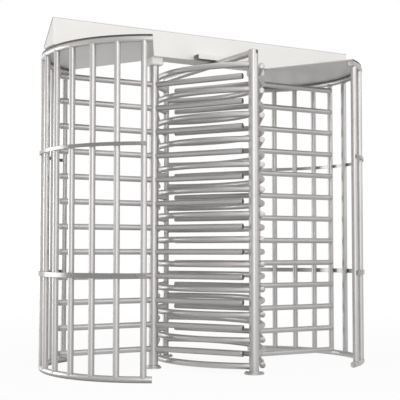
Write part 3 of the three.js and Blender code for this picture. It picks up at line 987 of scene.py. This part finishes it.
class HousingsOperator(bpy.types.Operator):
    """Makes the bearing housings under the head beam"""
    bl_idname = "turnstile.housings"
    bl_label = "Bearing housings"

    def execute(self, context):
        cut, soft, upper_part = 0.012, 0.006, 0.008
        cover_drop, screw_place, screw_sunk = 0.0002, 0.034, 0.001
        for side, lane in LANES.items():
            node = f"{side}_bearing_housing"
            low, high = node_box(node)
            half = (high.x - low.x) / 2
            middle = Vector((lane["x"], 0, low.z))
            rings = []
            for height, w in ((low.z, half - soft), (low.z + soft, half), (high.z - upper_part, half),
                              (high.z, half)):
                rings.append([
                    Vector((lane["x"] + x, y, height)) for x, y in (
                        (w, -w + cut), (w, w - cut), (w - cut, w), (-w + cut, w),
                        (-w, w - cut), (-w, -w + cut), (-w + cut, -w), (w - cut, -w))
                ])
            form = Form()
            form.skin(rings)
            turned(form, straight(middle - UP * cover_drop, UP), on_radius(BEARING_COVER), COVER_SIDES, 1)
            for x in (-1, 1):
                for y in (-1, 1):
                    seat = middle + Vector((x * screw_place, y * screw_place, screw_sunk))
                    turned(form, straight(seat, -UP), on_radius(SOCKET_SCREW), SOCKET_SIDES, 1)
            make_piece(f"{side}_housing_block", form,
                       ["housing", "bolt"], [node], sharp=28)
        return {"FINISHED"}


class BracketOperator(bpy.types.Operator):
    """Makes the channel bracket on the front of the head beam"""
    bl_idname = "turnstile.bracket"
    bl_label = "Clamp bracket"

    def execute(self, context):
        low, high = node_box("beam_clamp_bracket")
        sheet, soft = 0.004, 0.003
        round_off = soft * 0.3
        under = high.z - sheet
        section = [
            (low.y, low.z), (low.y + sheet, low.z), (low.y + sheet, under - soft),
            (low.y + sheet + soft, under), (high.y - sheet - soft, under),
            (high.y - sheet, under - soft), (high.y - sheet, low.z), (high.y, low.z),
            (high.y, high.z - soft), (high.y - round_off, high.z - round_off), (high.y - soft, high.z),
            (low.y + soft, high.z), (low.y + round_off, high.z - round_off), (low.y, high.z - soft),
        ]
        form = Form()
        form.skin(along_x(section, (low.x, high.x)))
        # The five inner sides of the channel take the darker colour as painted shade.
        for inner_side in range(1, 6):
            form.finishes[inner_side] = 1
        make_piece("clamp_channel", form,
                   ["housing", "bracket_inside"], ["beam_clamp_bracket"], sharp=30)
        return {"FINISHED"}


class KeptPartsOperator(bpy.types.Operator):
    """Gives the tray, the lock and the control box their finishes"""
    bl_idname = "turnstile.kept_parts"
    bl_label = "Tray and lock"

    def execute(self, context):
        wanted = {"head_beam_tray": "beam", "control_box": "box"}
        for side in LANES:
            wanted[f"{side}_lock_cam"] = "lock"
            wanted[f"{side}_lock_pawl"] = "lock"
        for node, name in wanted.items():
            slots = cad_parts[node].data.materials
            slots.clear()
            slots.append(material_of(name))
        return {"FINISHED"}


def soft_lamp(name, place, aim, size, power):
    lamp = bpy.data.lights.new(name, "AREA")
    lamp.shape = "RECTANGLE"
    lamp.size, lamp.size_y = size
    lamp.energy = power
    holder = bpy.data.objects.new(name, lamp)
    holder.location = place
    holder.rotation_euler = (Vector(aim) - Vector(place)).to_track_quat("-Z", "Y").to_euler()
    bpy.context.scene.collection.objects.link(holder)


def dimmed_by_ring(tree, place, level):
    """Lets the floor's reflected glow fall off close to the left cage's bottom ring."""
    place_and_centre = {0: place, 1: (-COLUMN_X, 0.0, 0.0)}
    distance = add_node(tree, "ShaderNodeVectorMath", place_and_centre, "DISTANCE").outputs["Value"]
    gap = math_node(tree, "ABSOLUTE", math_node(tree, "SUBTRACT", distance, CAGE_RADIUS))
    return math_node(tree, "MULTIPLY", map_range(tree, gap, RING_SHADE, (0.0, 1.0)), level)


def floor_material():
    """A matt floor that gives way to white, for the camera and for what the steel reflects."""
    material, tree, shader = new_material("pale_floor")
    fill(tree, shader, {
        "Base Color": (0.92, 0.92, 0.92, 1.0), "Roughness": 0.9, "Specular IOR Level": 0.0})
    rays = tree.nodes.new("ShaderNodeLightPath")
    place = object_space(tree)
    away = add_node(tree, "ShaderNodeVectorMath", {0: place}, "LENGTH").outputs["Value"]
    seen = {}
    for ray, reach, lowest in FLOOR_FADES:
        level = map_range(tree, away, reach, (lowest, 1.0))
        if ray == "Is Glossy Ray":
            level = dimmed_by_ring(tree, place, level)
        seen[ray] = math_node(tree, "MULTIPLY", rays.outputs[ray], level)
    glow = add_node(tree, "ShaderNodeEmission", {"Strength": 1.0})
    mix = add_node(tree, "ShaderNodeMixShader", {
        "Fac": math_node(tree, "MAXIMUM", *seen.values()), 1: shader.outputs["BSDF"],
        2: glow.outputs["Emission"]})
    fill(tree, tree.nodes["Material Output"], {"Surface": mix.outputs["Shader"]})
    return material


def make_floor(scene):
    form = Form()
    edge = circle(Vector(), Vector((1, 0, 0)), Vector((0, 1, 0)), FLOOR_RADIUS, 64)
    form.skin([[Vector()], edge], caps=False)
    mesh = bpy.data.meshes.new("studio_floor")
    mesh.from_pydata(form.points, [], form.faces)
    mesh.materials.append(floor_material())
    floor = bpy.data.objects.new("studio_floor", mesh)
    scene.collection.objects.link(floor)


def make_surround(scene, sky_level):
    """A surround that is white to the camera and in the steel, and dimmer as a light."""
    world = bpy.data.worlds.new("white_surround")
    world.use_nodes = True
    scene.world = world
    tree = world.node_tree
    rays = tree.nodes.new("ShaderNodeLightPath")
    seen = math_node(tree, "MAXIMUM", rays.outputs["Is Camera Ray"], rays.outputs["Is Glossy Ray"])
    seen = math_node(tree, "MAXIMUM", seen, rays.outputs["Is Transmission Ray"])
    level = map_range(tree, seen, (0.0, 1.0), (sky_level, 1.0))
    fill(tree, tree.nodes["Background"], {"Color": (1.0, 1.0, 1.0, 1.0), "Strength": level})


def make_camera(scene, focal_length):
    lens = bpy.data.cameras.new("view_camera")
    lens.lens = focal_length
    lens.sensor_width = SENSOR_WIDTH
    lens.sensor_fit = "HORIZONTAL"
    lens.clip_end = 200.0
    holder = bpy.data.objects.new("view_camera", lens)
    holder.location = CAMERA_PLACE
    holder.rotation_euler = (math.radians(90 + CAMERA_TILT), 0.0, math.radians(CAMERA_TURN))
    scene.collection.objects.link(holder)
    scene.camera = holder


class StageOperator(bpy.types.Operator):
    """Makes the floor, the white surround, the lamps and the camera"""
    bl_idname = "turnstile.stage"
    bl_label = "Stage"

    def execute(self, context):
        scene = context.scene
        studio = scene.turnstile_studio
        make_floor(scene)
        make_surround(scene, studio.sky_level)
        for name, (place, aim, size) in LAMPS.items():
            soft_lamp(f"{name}_lamp", place, aim, size, getattr(studio, f"{name}_power"))
        make_camera(scene, studio.lens)
        scene.view_settings.view_transform = "Standard"
        return {"FINISHED"}


STEPS = (
    ColumnsOperator, WingsOperator, CapsOperator, CageRingsOperator, UprightsOperator, BandsOperator,
    RoofsOperator, GuardsOperator, PostsOperator, FloorBearingsOperator, CrossTubeOperator,
    HeadBeamOperator, HousingsOperator, BracketOperator, KeptPartsOperator, StageOperator,
)
GROUPS = {
    "turnstile_sizes": TurnstileSizes,
    "turnstile_finishes": TurnstileFinishes,
    "turnstile_studio": TurnstileStudio,
}


class TurnstilePanel(bpy.types.Panel):
    """Lists the turnstile's sizes, finishes and making steps"""
    bl_idname = "VIEW3D_PT_turnstile"
    bl_label = "Turnstile"
    bl_space_type = "VIEW_3D"
    bl_region_type = "UI"
    bl_category = "Turnstile"

    def draw(self, context):
        for group in GROUPS:
            box = self.layout.box()
            settings = getattr(context.scene, group)
            for name in type(settings).__annotations__:
                box.prop(settings, name)
        for step in STEPS:
            self.layout.operator(step.bl_idname)


def register():
    for group in GROUPS.values():
        bpy.utils.register_class(group)
    for step in STEPS:
        bpy.utils.register_class(step)
    bpy.utils.register_class(TurnstilePanel)
    for name, group in GROUPS.items():
        setattr(bpy.types.Scene, name, bpy.props.PointerProperty(type=group))


def unregister():
    for name in GROUPS:
        delattr(bpy.types.Scene, name)
    bpy.utils.unregister_class(TurnstilePanel)
    for step in reversed(STEPS):
        bpy.utils.unregister_class(step)
    for group in reversed(list(GROUPS.values())):
        bpy.utils.unregister_class(group)


def main():
    register()
    for step in STEPS:
        family, name = step.bl_idname.split(".")
        getattr(getattr(bpy.ops, family), name)()


if __name__ == "__main__":
    main()
